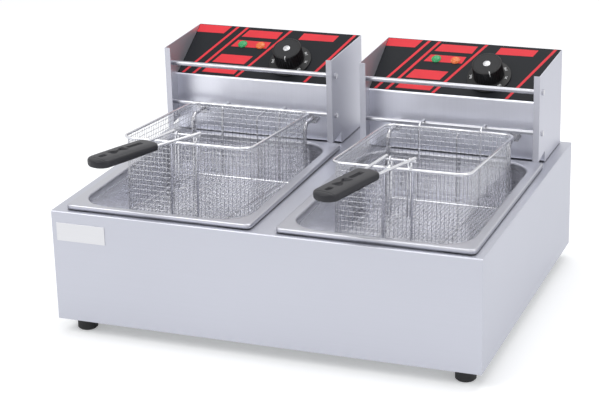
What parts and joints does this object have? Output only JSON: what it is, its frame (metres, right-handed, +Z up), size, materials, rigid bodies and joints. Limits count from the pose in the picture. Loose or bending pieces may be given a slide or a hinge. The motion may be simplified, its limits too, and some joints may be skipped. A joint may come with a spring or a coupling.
{
  "type": "twin deep fryer",
  "caption": "Countertop electric deep fryer: two oil pans in one steel cabinet, each with a lift-off control head and a wire basket with a folding handle.",
  "frame": {"origin": "centre of the whole object's footprint, on the surface that its feet stand on", "axes": "+Z up, +X to the operator's right, +Y to the back; the handles point to -Y"},
  "size_m": [0.56, 0.5106, 0.2997],
  "materials": {
    "cabinet_steel": "satin stainless sheet with a fine grain",
    "galvanised_sheet": "dull galvanised sheet",
    "badge_aluminium": "bare satin aluminium",
    "foot_rubber": "black moulded rubber",
    "screw_steel": "bright zinc plated",
    "pan_steel": "deep-drawn satin stainless",
    "head_steel": "satin stainless sheet",
    "overlay_film": "black film with plain red blocks",
    "rod_steel": "drawn stainless rod",
    "thermostat_phenolic": "dark phenolic",
    "green_lens": "translucent green lens",
    "orange_lens": "translucent orange lens",
    "element_sheath": "annealed stainless tube",
    "bulb_steel": "bare stainless tube",
    "terminal_ceramic": "white ceramic",
    "gland_nylon": "black nylon",
    "knob_phenolic": "black moulded phenolic",
    "knob_cap": "bare satin metal disc",
    "mesh_wire": "nickel plated woven wire",
    "frame_wire": "nickel plated wire",
    "grip_plastic": "black moulded phenolic"
  },
  "bodies": {
    "cabinet": {"deck_and_front_sheet": "cabinet_steel", "cabinet_side_left": "cabinet_steel", "cabinet_side_right": "cabinet_steel", "cabinet_rear_panel": "cabinet_steel", "cabinet_bottom_pan": "galvanised_sheet", "badge_plate": "badge_aluminium", "rubber_feet": "foot_rubber", "foot_screws": "screw_steel", "head_locating_pins": "screw_steel", "pan_collar_left": "cabinet_steel", "pan_collar_right": "cabinet_steel"},
    "pan_left": {"oil_pan_left": "pan_steel"},
    "head_left": {"head_panel_left": "head_steel", "head_side_inner_left": "head_steel", "head_side_outer_left": "head_steel", "head_rear_cover_left": "head_steel", "control_overlay_left": "overlay_film", "guard_rod_left": "rod_steel", "hanging_rod_left": "rod_steel", "head_screws_left": "screw_steel", "thermostat_body_left": "thermostat_phenolic", "green_lamp_left": "green_lens", "orange_lamp_left": "orange_lens", "heating_element_left": "element_sheath", "element_nuts_left": "screw_steel", "thermostat_bulb_left": "bulb_steel", "terminal_block_left": "terminal_ceramic", "cable_gland_left": "gland_nylon"},
    "knob_left": {"knob_left": "knob_phenolic", "knob_cap_disc_left": "knob_cap", "thermostat_shaft_left": "screw_steel"},
    "basket_left": {"basket_mesh_left": "mesh_wire", "basket_frame_left": "frame_wire"},
    "handle_left": {"handle_wire_left": "frame_wire", "handle_grip_left": "grip_plastic"},
    "pan_right": {"oil_pan_right": "pan_steel"},
    "head_right": {"head_panel_right": "head_steel", "head_side_inner_right": "head_steel", "head_side_outer_right": "head_steel", "head_rear_cover_right": "head_steel", "control_overlay_right": "overlay_film", "guard_rod_right": "rod_steel", "hanging_rod_right": "rod_steel", "head_screws_right": "screw_steel", "thermostat_body_right": "thermostat_phenolic", "green_lamp_right": "green_lens", "orange_lamp_right": "orange_lens", "heating_element_right": "element_sheath", "element_nuts_right": "screw_steel", "thermostat_bulb_right": "bulb_steel", "terminal_block_right": "terminal_ceramic", "cable_gland_right": "gland_nylon"},
    "knob_right": {"knob_right": "knob_phenolic", "knob_cap_disc_right": "knob_cap", "thermostat_shaft_right": "screw_steel"},
    "basket_right": {"basket_mesh_right": "mesh_wire", "basket_frame_right": "frame_wire"},
    "handle_right": {"handle_wire_right": "frame_wire", "handle_grip_right": "grip_plastic"}
  },
  "joints": [
    {"name": "pan_lift_left", "type": "slide", "parent": "cabinet", "child": "pan_left", "axis": [0, 0, 1], "range_m": [0, 0.2]},
    {"name": "head_lift_left", "type": "slide", "parent": "pan_left", "child": "head_left", "axis": [0, 0, 1], "range_m": [0, 0.2]},
    {"name": "knob_turn_left", "type": "hinge", "parent": "head_left", "child": "knob_left", "pos_m": [-0.10635, 0.18952, 0.26761], "axis": [0, -0.5029, 0.8644], "range_deg": [-290, 0]},
    {"name": "basket_lift_left", "type": "slide", "parent": "head_left", "child": "basket_left", "axis": [0, -0.5, 0.866], "range_m": [0, 0.25]},
    {"name": "handle_fold_left", "type": "hinge", "parent": "basket_left", "child": "handle_left", "pos_m": [-0.13565, -0.10151, 0.24858], "axis": [-1, 0, 0], "range_deg": [0, 90]},
    {"name": "pan_lift_right", "type": "slide", "parent": "cabinet", "child": "pan_right", "axis": [0, 0, 1], "range_m": [0, 0.2]},
    {"name": "head_lift_right", "type": "slide", "parent": "pan_right", "child": "head_right", "axis": [0, 0, 1], "range_m": [0, 0.2]},
    {"name": "knob_turn_right", "type": "hinge", "parent": "head_right", "child": "knob_right", "pos_m": [0.17895, 0.18952, 0.26761], "axis": [0, -0.5029, 0.8644], "range_deg": [-290, 0]},
    {"name": "basket_lift_right", "type": "slide", "parent": "head_right", "child": "basket_right", "axis": [0, -0.5, 0.866], "range_m": [0, 0.25]},
    {"name": "handle_fold_right", "type": "hinge", "parent": "basket_right", "child": "handle_right", "pos_m": [0.14765, -0.10151, 0.24258], "axis": [-1, 0, 0], "range_deg": [0, 90]}
  ]
}
